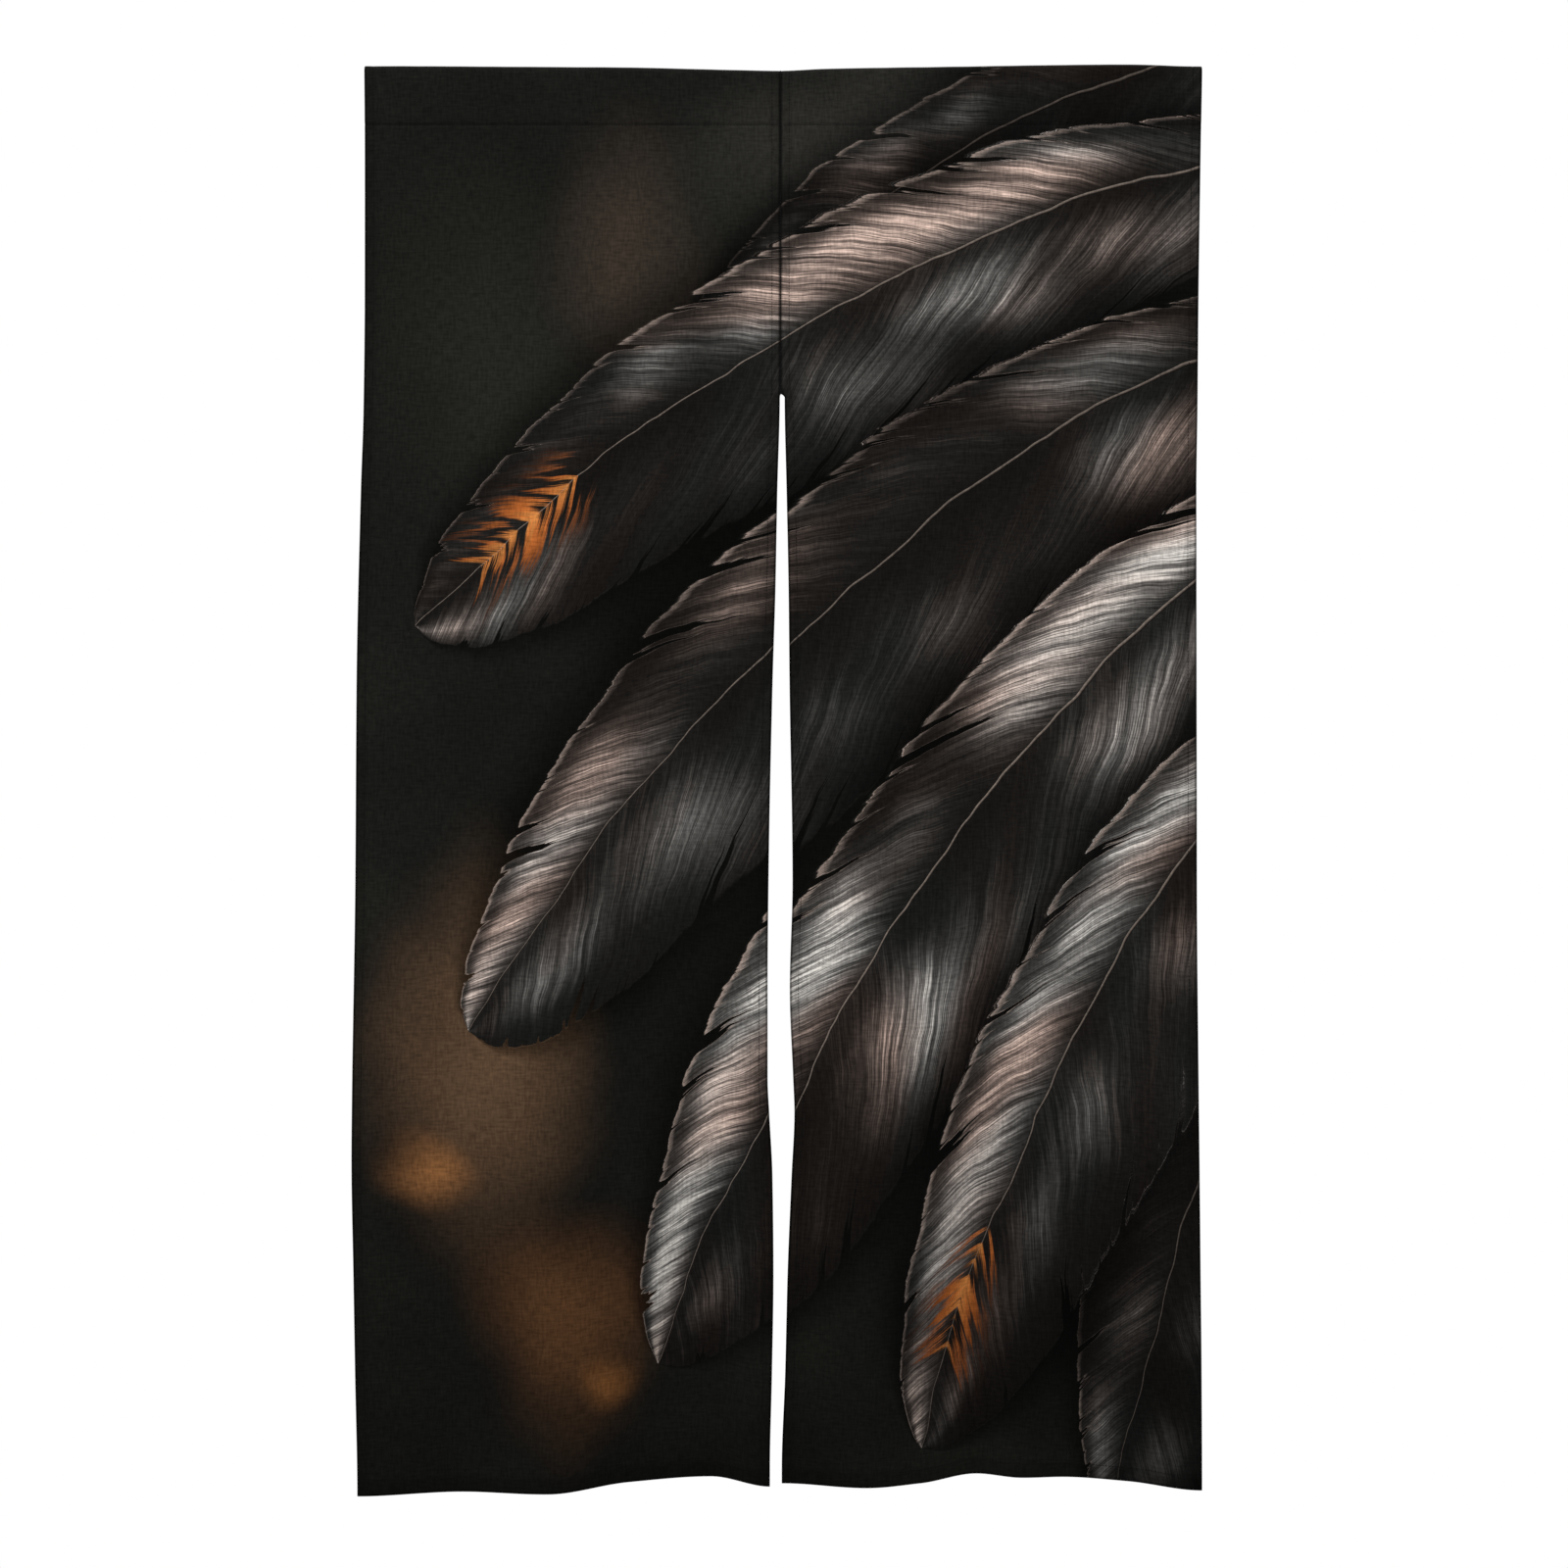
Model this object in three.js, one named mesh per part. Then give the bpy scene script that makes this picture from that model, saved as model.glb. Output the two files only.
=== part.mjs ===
// Split doorway curtain: printed cloth panels, side by side, that are seamed together at the
// top and part below at a long open slit. A rod pocket runs along the top edge.
// Millimetres, +Z up. The front faces -Y, and +X is to the right as seen from the front.
// The origin is on the top edge, at the seam between the panels.
import * as THREE from 'three'

// Cloth, and the hems turned in at its back
const clothThickness = 1.5
const hemExtraThickness = 0.9
const sideHemWidth = 10
const bottomHemWidth = 15
const hemEdgeSlope = 1.5
const panelFlatWidth = 430
const pieceGap = 0.3

// Rod pocket: the cloth is turned over to the back and sewn down along a level stitch line
const stitchLineZ = -54.5
const turnedEdgeBelowStitch = 1.5
const hollowAboveStitch = 2
const hollowHalfWidthAtStitch = 0.15
const pocketArcSteps = 12
const pocketLengthSteps = 14

// Slit between the panels
const slitHeadZ = -326
const slitHeadRounding = 3
const closedAboveSlitHead = 0.5

// Mesh density of a panel
const columnSteps = 20
const rowSpacing = 40
const nominalHemZ = -1430

// Top edge of the pocket: its height, and the radius to which its top fold stands open
const pocketTop = [
  { x: -419, z: 4.9, radius: 6.4 },
  { x: -250, z: 4.0, radius: 7.2 },
  { x: -155, z: 3.4, radius: 7.4 },
  { x: -52, z: 1.0, radius: 6.9 },
  { x: 0, z: 0, radius: 6.7 },
  { x: 43, z: 2.0, radius: 6.9 },
  { x: 161, z: 4.0, radius: 7.3 },
  { x: 349, z: 6.4, radius: 6.8 },
  { x: 424, z: 4.4, radius: 6.3 },
]

// Outer side edges, down the curtain
const outerEdges = [
  { z: 5, left: -418.9, right: 424.3 },
  { z: -107, left: -418.8, right: 422.9 },
  { z: -225, left: -418.9, right: 421.1 },
  { z: -343, left: -420.2, right: 420.0 },
  { z: -423, left: -422.8, right: 418.9 },
  { z: -620, left: -427.0, right: 418.9 },
  { z: -818, left: -428.0, right: 418.9 },
  { z: -1035, left: -431.0, right: 420.5 },
  { z: -1095, left: -431.4, right: 421.1 },
  { z: -1213, left: -429.3, right: 422.1 },
  { z: -1312, left: -427.5, right: 423.0 },
  { z: -1436, left: -425.2, right: 423.5 },
]

// Inner edges, down the slit
const slitEdges = [
  { z: -326, left: -1.0, right: 4.4 },
  { z: -423, left: -3.5, right: 6.4 },
  { z: -522, left: -5.4, right: 8.4 },
  { z: -620, left: -8.4, right: 9.4 },
  { z: -818, left: -12.4, right: 12.4 },
  { z: -926, left: -13.3, right: 9.6 },
  { z: -1015, left: -13.3, right: 13.0 },
  { z: -1050, left: -11.7, right: 14.3 },
  { z: -1115, left: -8.4, right: 11.4 },
  { z: -1213, left: -7.4, right: 7.4 },
  { z: -1312, left: -8.9, right: 5.0 },
  { z: -1411, left: -11.0, right: 1.5 },
]

// Folds at the hem, from left to right: depth is the cloth's y there, hemZ its height, and
// runsUp how far above the hem the fold can still be seen
const leftFolds = [
  { x: -425.2, depth: -12, hemZ: -1435.0, runsUp: 1150 },
  { x: -324, depth: 8, hemZ: -1433.4, runsUp: 900 },
  { x: -233, depth: -13, hemZ: -1433.0, runsUp: 1250 },
  { x: -154, depth: 4, hemZ: -1423.4, runsUp: 850 },
  { x: -70, depth: 17, hemZ: -1419.4, runsUp: 1300 },
  { x: -10.8, depth: -8, hemZ: -1425.9, runsUp: 1050 },
]
const rightFolds = [
  { x: 1.5, depth: 0, hemZ: -1423.7, runsUp: 700 },
  { x: 87, depth: -12, hemZ: -1426.7, runsUp: 1200 },
  { x: 142, depth: 3, hemZ: -1424.2, runsUp: 800 },
  { x: 198, depth: 16, hemZ: -1416.4, runsUp: 1330 },
  { x: 241, depth: -2, hemZ: -1417.9, runsUp: 750 },
  { x: 291, depth: 8, hemZ: -1418.6, runsUp: 900 },
  { x: 349, depth: -4, hemZ: -1421.0, runsUp: 800 },
  { x: 423.5, depth: -13, hemZ: -1429.0, runsUp: 1250 },
]

const sides = {
  left: { folds: leftFolds, outward: -1 },
  right: { folds: rightFolds, outward: 1 },
}

// Reads a table at a place between its rows, on a smooth curve that keeps to each row's value
// and doesn't swing past it
function readTable(table, key, column, place) {
  const rows = [...table].sort((a, b) => a[key] - b[key])
  const at = THREE.MathUtils.clamp(place, rows[0][key], rows.at(-1)[key])
  const next = Math.max(1, rows.findIndex((row) => row[key] >= at))
  const slope = (i) => (rows[i + 1][column] - rows[i][column]) / (rows[i + 1][key] - rows[i][key])
  const tangent = (i) => {
    if (i === 0 || i === rows.length - 1) return 0
    const before = slope(i - 1)
    const after = slope(i)
    return before * after <= 0 ? 0 : (2 * before * after) / (before + after)
  }
  const low = rows[next - 1]
  const high = rows[next]
  const span = high[key] - low[key]
  const t = (at - low[key]) / span
  return (
    low[column] * (1 + 2 * t) * (1 - t) ** 2 +
    tangent(next - 1) * span * t * (1 - t) ** 2 +
    high[column] * t ** 2 * (3 - 2 * t) +
    tangent(next) * span * t ** 2 * (t - 1)
  )
}

function outerX(side, z) {
  return readTable(outerEdges, 'z', side, z)
}

// The inner edge stands half the gap from the seam, and opens into the slit below its round head
function innerX(side, z) {
  const seamX = (sides[side].outward * pieceGap) / 2
  const open = THREE.MathUtils.clamp((slitHeadZ - z) / slitHeadRounding, 0, 1)
  const slitX = readTable(slitEdges, 'z', side, Math.min(z, slitHeadZ))
  return THREE.MathUtils.lerp(seamX, slitX, Math.sqrt(open))
}

// Depth of the cloth's middle: each fold fades out towards the flat heading
function foldDepth(side, hemX, z) {
  const rows = sides[side].folds.map((fold) => {
    const climb = THREE.MathUtils.clamp((z - fold.hemZ) / fold.runsUp, 0, 1)
    return { x: fold.x, y: fold.depth * THREE.MathUtils.smoothstep(1 - climb, 0, 1) }
  })
  return readTable(rows, 'x', 'y', hemX)
}

// 1 on a turned-in hem, falling to 0 over the slope at its sewn edge
function hemShare(distance, width) {
  return THREE.MathUtils.clamp((width + hemEdgeSlope - distance) / hemEdgeSlope, 0, 1)
}

// Distances across the flat panel: close together at both side hems, and even between them
function columnPlaces() {
  const inside = sideHemWidth + hemEdgeSlope
  const places = [0, sideHemWidth]
  for (let i = 0; i <= columnSteps; i++) {
    places.push(THREE.MathUtils.lerp(inside, panelFlatWidth - inside, i / columnSteps))
  }
  places.push(panelFlatWidth - sideHemWidth, panelFlatWidth)
  return places
}

// Heights down the panel: even, with closer rows at the slit's head and at the bottom hem
function rowPlaces(topZ) {
  const special = [
    topZ,
    slitHeadZ + closedAboveSlitHead,
    slitHeadZ - slitHeadRounding / 3,
    slitHeadZ - slitHeadRounding,
    nominalHemZ + bottomHemWidth + hemEdgeSlope,
    nominalHemZ + bottomHemWidth,
    nominalHemZ,
  ]
  const places = [...special]
  for (let z = topZ - rowSpacing; z > nominalHemZ; z -= rowSpacing) {
    if (special.every((other) => Math.abs(other - z) > rowSpacing / 3)) places.push(z)
  }
  return places.sort((a, b) => b - a)
}

// A closed surface over points that its triangles share
function closedSurface(points, triangles) {
  const geometry = new THREE.BufferGeometry()
  geometry.setAttribute('position', new THREE.Float32BufferAttribute(points.flat(), 3))
  geometry.setIndex(triangles.flat())
  geometry.computeVertexNormals()
  return geometry
}

// Two triangles over four corners given in order round the outside
function quad(a, b, c, d) {
  return [a, b, c, a, c, d]
}

// Panel: a front grid and a back grid of points, joined round the rim
function panelGeometry(side) {
  const topZ = stitchLineZ - turnedEdgeBelowStitch - pieceGap
  const columns = columnPlaces()
  const rows = rowPlaces(topZ)
  const hemOuterX = outerX(side, nominalHemZ)
  const hemInnerX = innerX(side, nominalHemZ)
  // Both panels are laid from left to right, so that their faces turn the same way
  const fromLeft = sides[side].outward < 0 ? [hemOuterX, hemInnerX] : [hemInnerX, hemOuterX]
  const front = []
  const back = []
  for (const rowZ of rows) {
    for (const place of columns) {
      const share = place / panelFlatWidth
      const hemX = THREE.MathUtils.lerp(fromLeft[0], fromLeft[1], share)
      const hemZ = readTable(sides[side].folds, 'x', 'hemZ', hemX)
      const z = topZ + ((rowZ - topZ) * (hemZ - topZ)) / (nominalHemZ - topZ)
      const outer = outerX(side, z)
      const inner = innerX(side, z)
      const leftX = Math.min(outer, inner)
      const rightX = Math.max(outer, inner)
      const x = THREE.MathUtils.lerp(leftX, rightX, share)
      const y = foldDepth(side, hemX, z)
      const hem = Math.max(
        hemShare(place, sideHemWidth),
        hemShare(panelFlatWidth - place, sideHemWidth),
        hemShare(rowZ - nominalHemZ, bottomHemWidth),
      )
      front.push([x, y - clothThickness / 2, z])
      back.push([x, y + clothThickness / 2 + hem * hemExtraThickness, z])
    }
  }
  const lastColumn = columns.length - 1
  const lastRow = rows.length - 1
  const frontAt = (row, column) => row * columns.length + column
  const backAt = (row, column) => front.length + frontAt(row, column)
  const triangles = []
  for (let row = 0; row < lastRow; row++) {
    const below = row + 1
    for (let column = 0; column < lastColumn; column++) {
      const beside = column + 1
      triangles.push(
        quad(frontAt(row, column), frontAt(below, column), frontAt(below, beside), frontAt(row, beside)),
        quad(backAt(row, column), backAt(row, beside), backAt(below, beside), backAt(below, column)),
      )
    }
    triangles.push(
      quad(frontAt(row, 0), backAt(row, 0), backAt(below, 0), frontAt(below, 0)),
      quad(
        frontAt(row, lastColumn),
        frontAt(below, lastColumn),
        backAt(below, lastColumn),
        backAt(row, lastColumn),
      ),
    )
  }
  for (let column = 0; column < lastColumn; column++) {
    const beside = column + 1
    triangles.push(
      quad(frontAt(0, column), frontAt(0, beside), backAt(0, beside), backAt(0, column)),
      quad(
        frontAt(lastRow, column),
        backAt(lastRow, column),
        backAt(lastRow, beside),
        frontAt(lastRow, beside),
      ),
    )
  }
  return closedSurface([...front, ...back], triangles)
}

// One loop of the pocket's section in (y, z): straight walls that leave the bottom at
// halfWidth each side of the middle and meet the round top fold at a tangent
function pocketLoop(middleY, topZ, radius, bottomZ, halfWidth) {
  const centreZ = topZ - radius
  const drop = centreZ - bottomZ
  const reach = Math.hypot(halfWidth, drop)
  const tangentAngle = Math.acos(radius / reach) - Math.PI / 2 + Math.atan2(halfWidth, drop)
  const loop = [[middleY - halfWidth, bottomZ]]
  for (let i = 0; i <= pocketArcSteps; i++) {
    const angle = THREE.MathUtils.lerp(Math.PI - tangentAngle, tangentAngle, i / pocketArcSteps)
    loop.push([middleY + radius * Math.cos(angle), centreZ + radius * Math.sin(angle)])
  }
  loop.push([middleY + halfWidth, bottomZ])
  return loop
}

// Rod pocket: an outer and an inner skin that run along X and join at the open ends
function pocketGeometry(side) {
  const middleY = clothThickness / 2
  const bottomZ = stitchLineZ - turnedEdgeBelowStitch
  const points = []
  for (let i = 0; i <= pocketLengthSteps; i++) {
    const share = i / pocketLengthSteps
    const ends = [outerX(side, 0), innerX(side, 0)].sort((a, b) => a - b)
    const stationX = THREE.MathUtils.lerp(ends[0], ends[1], share)
    const topZ = readTable(pocketTop, 'x', 'z', stationX)
    const radius = readTable(pocketTop, 'x', 'radius', stationX)
    const outerLoop = pocketLoop(middleY, topZ, radius, bottomZ, clothThickness)
    const innerLoop = pocketLoop(
      middleY,
      topZ - clothThickness,
      radius - clothThickness,
      stitchLineZ + hollowAboveStitch,
      hollowHalfWidthAtStitch,
    )
    for (const [y, z] of [...outerLoop, ...innerLoop]) {
      const edges = [outerX(side, z), innerX(side, z)].sort((a, b) => a - b)
      points.push([THREE.MathUtils.lerp(edges[0], edges[1], share), y, z])
    }
  }
  const loopLength = pocketArcSteps + 3
  const at = (station, skin, i) => (station * 2 + skin) * loopLength + (i % loopLength)
  const last = pocketLengthSteps
  const triangles = []
  for (let i = 0; i < loopLength; i++) {
    for (let station = 0; station < last; station++) {
      triangles.push(
        quad(at(station, 0, i), at(station + 1, 0, i), at(station + 1, 0, i + 1), at(station, 0, i + 1)),
        quad(at(station, 1, i), at(station, 1, i + 1), at(station + 1, 1, i + 1), at(station + 1, 1, i)),
      )
    }
    triangles.push(
      quad(at(0, 0, i), at(0, 0, i + 1), at(0, 1, i + 1), at(0, 1, i)),
      quad(at(last, 0, i), at(last, 1, i), at(last, 1, i + 1), at(last, 0, i + 1)),
    )
  }
  return closedSurface(points, triangles)
}

function clothMesh(name, geometry, color) {
  const material = new THREE.MeshStandardMaterial({ color, roughness: 0.9, metalness: 0 })
  const mesh = new THREE.Mesh(geometry, material)
  mesh.name = name
  return mesh
}

const curtain = new THREE.Group()
curtain.name = 'split_door_curtain'
curtain.add(
  clothMesh('panel_left', panelGeometry('left'), '#2b2927'),
  clothMesh('panel_right', panelGeometry('right'), '#35302b'),
  clothMesh('rod_pocket_left', pocketGeometry('left'), '#1d1d1b'),
  clothMesh('rod_pocket_right', pocketGeometry('right'), '#262522'),
)

export default curtain
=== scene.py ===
# A split doorway curtain of printed cloth, hung by its rod pocket. For Blender 4.5.
# Tables are in millimetres and the scene is in metres: the front faces -Y, and the origin is
# on the top edge at the seam between the panels.
import math
from bisect import bisect_right

import bpy
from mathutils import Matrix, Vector, noise


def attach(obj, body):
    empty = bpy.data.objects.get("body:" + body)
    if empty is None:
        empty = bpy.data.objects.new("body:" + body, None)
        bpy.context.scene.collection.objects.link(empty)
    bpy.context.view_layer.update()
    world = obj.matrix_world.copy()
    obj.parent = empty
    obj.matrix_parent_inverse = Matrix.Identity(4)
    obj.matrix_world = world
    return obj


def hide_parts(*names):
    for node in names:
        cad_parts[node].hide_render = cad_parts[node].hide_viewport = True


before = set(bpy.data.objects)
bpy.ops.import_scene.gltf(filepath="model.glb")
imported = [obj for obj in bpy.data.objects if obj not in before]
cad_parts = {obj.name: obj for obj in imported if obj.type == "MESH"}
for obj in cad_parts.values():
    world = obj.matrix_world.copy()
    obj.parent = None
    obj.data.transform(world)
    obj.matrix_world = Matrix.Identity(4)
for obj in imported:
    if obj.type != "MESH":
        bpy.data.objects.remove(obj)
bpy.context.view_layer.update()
mm = 0.001
print("curtain: frame loaded")

# How the cloth hangs. The same sizes shape the solids.
hang = {
    "flatWidth": 430,
    "stitchLine": -54.5,  # z of the rod pocket's stitches
    "panelTop": -56.3,
    "hem": -1430,
    "turnedEdge": 1.5,  # cloth below the pocket's stitches, at the back
    "slitHead": -326,
    "slitHeadRounding": 3,
    "slitHeadEase": 2.5,  # how fast the opening spreads, for each mm away from the slit
    "slitHeadEaseReach": 8,
}

# x, z and open radius of the pocket's top fold
pocketTop = [
    (-419, 4.9, 6.4), (-250, 4.0, 7.2), (-155, 3.4, 7.4), (-52, 1.0, 6.9), (0, 0, 6.7),
    (43, 2.0, 6.9), (161, 4.0, 7.3), (349, 6.4, 6.8), (424, 4.4, 6.3),
]

# z, then x of the left and right outer edges
outerEdges = [
    (5, -418.9, 424.3), (-107, -418.8, 422.9), (-225, -418.9, 421.1), (-343, -420.2, 420.0),
    (-423, -422.8, 418.9), (-620, -427.0, 418.9), (-818, -428.0, 418.9), (-1035, -431.0, 420.5),
    (-1095, -431.4, 421.1), (-1213, -429.3, 422.1), (-1312, -427.5, 423.0), (-1436, -425.2, 423.5),
]

# z, then x of the slit's left and right edges
slitEdges = [
    (-326, -1.0, 4.4), (-423, -3.5, 6.4), (-522, -5.4, 8.4), (-620, -8.4, 9.4),
    (-818, -12.4, 12.4), (-926, -13.3, 9.6), (-1015, -13.3, 13.0), (-1050, -11.7, 14.3),
    (-1115, -8.4, 11.4), (-1213, -7.4, 7.4), (-1312, -8.9, 5.0), (-1411, -11.0, 1.5),
]

# x at the hem, depth there, z of the hem, and how far above the hem the fold can be seen
folds = {
    "left": [
        (-425.2, -12, -1435.0, 1150), (-324, 8, -1433.4, 900), (-233, -13, -1433.0, 1250),
        (-154, 4, -1423.4, 850), (-70, 17, -1419.4, 1300), (-10.8, -8, -1425.9, 1050),
    ],
    "right": [
        (1.5, 0, -1423.7, 700), (87, -12, -1426.7, 1200), (142, 3, -1424.2, 800),
        (198, 16, -1416.4, 1330), (241, -2, -1417.9, 750), (291, 8, -1418.6, 900),
        (349, -4, -1421.0, 800), (423.5, -13, -1429.0, 1250),
    ],
}

flatWidth = hang["flatWidth"]


def mixed(low, high, share):
    return low + (high - low) * share


def clamped(value, low=0.0, high=1.0):
    return max(low, min(high, value))


def smoothCurve(points):
    # A curve through (place, value) points that keeps to each value and never swings past it
    places, values = zip(*sorted(points))
    last = len(places) - 1
    slopes = [(values[i + 1] - values[i]) / (places[i + 1] - places[i]) for i in range(last)]
    tangents = [0.0] * (last + 1)
    for i in range(1, last):
        before, after = slopes[i - 1], slopes[i]
        if before * after > 0:
            tangents[i] = 2 * before * after / (before + after)

    def at(place):
        place = clamped(place, places[0], places[-1])
        i = min(bisect_right(places, place), last) - 1
        span = places[i + 1] - places[i]
        t = (place - places[i]) / span
        return (
            values[i] * (1 + 2 * t) * (1 - t) ** 2
            + tangents[i] * span * t * (1 - t) ** 2
            + values[i + 1] * t ** 2 * (3 - 2 * t)
            + tangents[i + 1] * span * t ** 2 * (t - 1)
        )

    return at


topHeight = smoothCurve([(x, z) for x, z, _ in pocketTop])
topRadius = smoothCurve([(x, radius) for x, _, radius in pocketTop])
hemHeight = {side: smoothCurve([(x, z) for x, _, z, _ in rows]) for side, rows in folds.items()}
outerX, slitX = (
    {
        "left": smoothCurve([(z, left) for z, left, _ in edges]),
        "right": smoothCurve([(z, right) for z, _, right in edges]),
    }
    for edges in (outerEdges, slitEdges)
)


def innerX(side, z, fromSlit):
    # The panels meet at the seam, and part below the slit's round head. The cloth beside the
    # slit gives way little by little.
    ease = hang["slitHeadEase"] * fromSlit
    opened = clamped((hang["slitHead"] + ease - z) / (hang["slitHeadRounding"] + 2 * ease))
    roundHead, softHead = math.sqrt(opened), opened * opened * (3 - 2 * opened)
    eased = mixed(roundHead, softHead, clamped(fromSlit / hang["slitHeadEaseReach"]))
    return slitX[side](min(z, hang["slitHead"])) * eased


def acrossX(side, share, z):
    # share runs from 0 at the panel's left edge to 1 at its right edge
    fromSlit = flatWidth * (1 - share if side == "left" else share)
    edges = (outerX[side](z), innerX(side, z, fromSlit))
    return mixed(min(edges), max(edges), share)


def foldDepth(side, hemX, z):
    rows = []
    for x, depth, hemZ, runsUp in folds[side]:
        t = 1 - clamped((z - hemZ) / runsUp)
        rows.append((x, depth * t * t * (3 - 2 * t)))
    return smoothCurve(rows)(hemX)


# The cloth as it is drawn: thinner than the solids, with hems turned in at its back
cloth = {
    "thickness": 0.8,
    "hemThickness": 0.9,  # what a turned hem adds
    "sideHem": 10.5,
    "bottomHem": 15,
    "pocketHem": 10,
    "sideStitch": 8.8,  # from the side edges to the stitches
    "bottomStitch": 13.4,
    "edgeRounding": 0.9,
    "leastRounding": 0.45,  # the share of its thickness left at the very edge
    "rimBulge": 0.3,
    "columnSpacing": 4.6,
    "rowSpacing": 4.6,
    "closest": 0.55,  # the least gap to a closer row or column, as a share of the spacing
    "topRows": 16,  # rows round the pocket's top
    "pocketLoop": 121.5,  # cloth from the stitches in front, over the top, to the turned edge
    "roundTop": (48.6, 71.4),  # the part of that loop that goes round the top
    "pocketMiddle": 0.75,
    "pocketBack": 1.75,  # y of the pocket's rear layer at its stitches
    "layerGap": 0.15,
    "layerSlope": 0.12,  # how fast the rear layer comes to lie on the front one
    "layerReach": 8,  # how far below the stitches the front layer bears it
}
panelLength = hang["stitchLine"] - hang["hem"]
clothLength = panelLength + cloth["pocketLoop"]
rearStitch = clothLength - hang["turnedEdge"]
slitHeadUp = hang["slitHead"] - hang["hem"]

# Small relief of the sewn cloth, outward from the printed face
relief = {
    # Along the sewn lines: height and width
    "stitchGroove": (-0.24, 0.9),
    "headingGroove": (-0.9, 1.1),
    "headingRidge": (0.7, 2.2),
    "headingRidgeDrop": 3.4,  # the ridge is just below the pocket's stitches
    "headingBulge": 1.0,  # the pocket swells over its stitches
    "headingBulgeReach": 5,
    "seamGroove": 2.4,  # both panels turn in at the seam
    "seamGrooveWidth": 3.0,
    "seamGrooveAtTop": 0.15,  # the share of its depth left where it goes over the top
    "seamGrooveTurn": 8,  # how soon it grows shallow there
    "seamFade": 9,
    "seamHold": 12,  # how far from the seam the cloth is held level
    # Puckers: height, lengths along and away from the stitches, reach, and gap beside them
    "hemPucker": {"height": 0.32, "along": 17, "away": 45, "reach": 13, "gap": 0},
    "headingPucker": {"height": 0.7, "along": 23, "away": 90, "reach": 34, "gap": 2.5},
    # Unevenness all over: height, length across, and how many times longer it is upward
    "uneven": {"height": 1.1, "length": 150, "stretch": 2.2},
    "ripple": {"height": 0.16, "length": 38, "stretch": 2.6},
    "calmReach": 160,  # the panel grows calm this near to the heading
    "seed": {"left": 3.7, "right": 19.3},
    "rightEdgeSeed": 7.1,
}

# Soft creases, listed: side, place across and up the flat panel, slant in degrees from
# upright, length, width and height. A negative height is a trough.
creases = [
    ("left", 421, 1066, 14, 150, 7, 0.7), ("left", 409, 1040, 23, 120, 9, -0.6),
    ("right", 10, 1058, -17, 140, 8, 0.7), ("right", 25, 1030, -28, 110, 9, -0.5),
    ("left", 60, 1290, -6, 130, 10, 0.6), ("left", 236, 1240, 3, 210, 13, 0.7),
    ("left", 330, 1262, -4, 170, 11, -0.6), ("right", 96, 1250, 5, 190, 12, 0.7),
    ("right", 214, 1233, -3, 230, 13, -0.6), ("right", 350, 1270, 7, 150, 10, 0.7),
    ("left", 150, 330, 4, 260, 15, 0.8), ("right", 300, 300, -5, 240, 14, 0.8),
]


def bump(distance, width):
    return math.exp(-(distance / width) ** 2)


def grain(x, y, seed):
    return noise.noise(Vector((x, y, seed)))


def reliefAt(side, across, up):
    seed = relief["seed"][side]
    leftEdge, rightEdge = across, flatWidth - across
    edge = min(leftEdge, rightEdge)
    edgeSeed = seed + (0 if leftEdge < rightEdge else relief["rightEdgeSeed"])
    belowHeading = panelLength - up
    fromSide, fromBottom = edge - cloth["sideStitch"], up - cloth["bottomStitch"]
    height = 0.0
    for distance, (rise, width) in (
        (fromSide, relief["stitchGroove"]),
        (fromBottom, relief["stitchGroove"]),
        (belowHeading, relief["headingGroove"]),
        (up - rearStitch, relief["stitchGroove"]),
        (belowHeading - relief["headingRidgeDrop"], relief["headingRidge"]),
    ):
        height += rise * bump(distance, width)
    above = max(-belowHeading, 0) / relief["headingBulgeReach"]
    height += relief["headingBulge"] * above * math.exp(1 - above)
    # Puckers run away from each line of stitches
    for distance, along, away, pattern, pucker in (
        (fromSide, up, edge, edgeSeed, relief["hemPucker"]),
        (fromBottom, across, up, seed + 2, relief["hemPucker"]),
        (belowHeading, across, up, seed + 4, relief["headingPucker"]),
    ):
        fade = math.exp(-abs(distance) / pucker["reach"])
        if pucker["gap"]:
            fade *= 1 - bump(distance, pucker["gap"])
        height += pucker["height"] * fade * grain(along / pucker["along"], away / pucker["away"], pattern)
    # The panel is a little uneven all over, and calm at the heading
    waves = [
        wave["height"] * grain(across / wave["length"], up / (wave["stretch"] * wave["length"]), pattern)
        for wave, pattern in ((relief["uneven"], seed + 9), (relief["ripple"], seed + 13))
    ]
    height += clamped(belowHeading / relief["calmReach"]) * sum(waves)
    for creaseSide, x, y, slant, length, width, rise in creases:
        if creaseSide == side and abs(up - y) < length and abs(across - x) < length:
            lean = math.radians(slant)
            off = (across - x) * math.cos(lean) - (up - y) * math.sin(lean)
            run = (across - x) * math.sin(lean) + (up - y) * math.cos(lean)
            height += rise * bump(off, width) * bump(run, length / 2)
    # The seam holds the panels level where they meet, and turns them in
    fromSeam = rightEdge if side == "left" else leftEdge
    sewn = clamped((up - slitHeadUp) / relief["seamFade"])
    height *= 1 - sewn * (1 - clamped(fromSeam / relief["seamHold"]))
    topStart, topEnd = cloth["roundTop"]
    turn = relief["seamGrooveTurn"]
    intoTop = min(-belowHeading - (topStart - turn), topEnd + turn + belowHeading)
    overTop = clamped(intoTop / turn)
    sewn *= mixed(1, relief["seamGrooveAtTop"], overTop)
    height -= sewn * relief["seamGroove"] * clamped(1 - fromSeam / relief["seamGrooveWidth"]) ** 2
    return height


def panelPoint(side, across, up):
    share = across / flatWidth
    hemX = acrossX(side, share, hang["hem"])
    reach = hemHeight[side](hemX) - hang["panelTop"]
    rowZ = hang["hem"] + up
    z = hang["panelTop"] + (rowZ - hang["panelTop"]) * reach / (hang["hem"] - hang["panelTop"])
    return Vector((acrossX(side, share, z), foldDepth(side, hemX, z), z))


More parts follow.
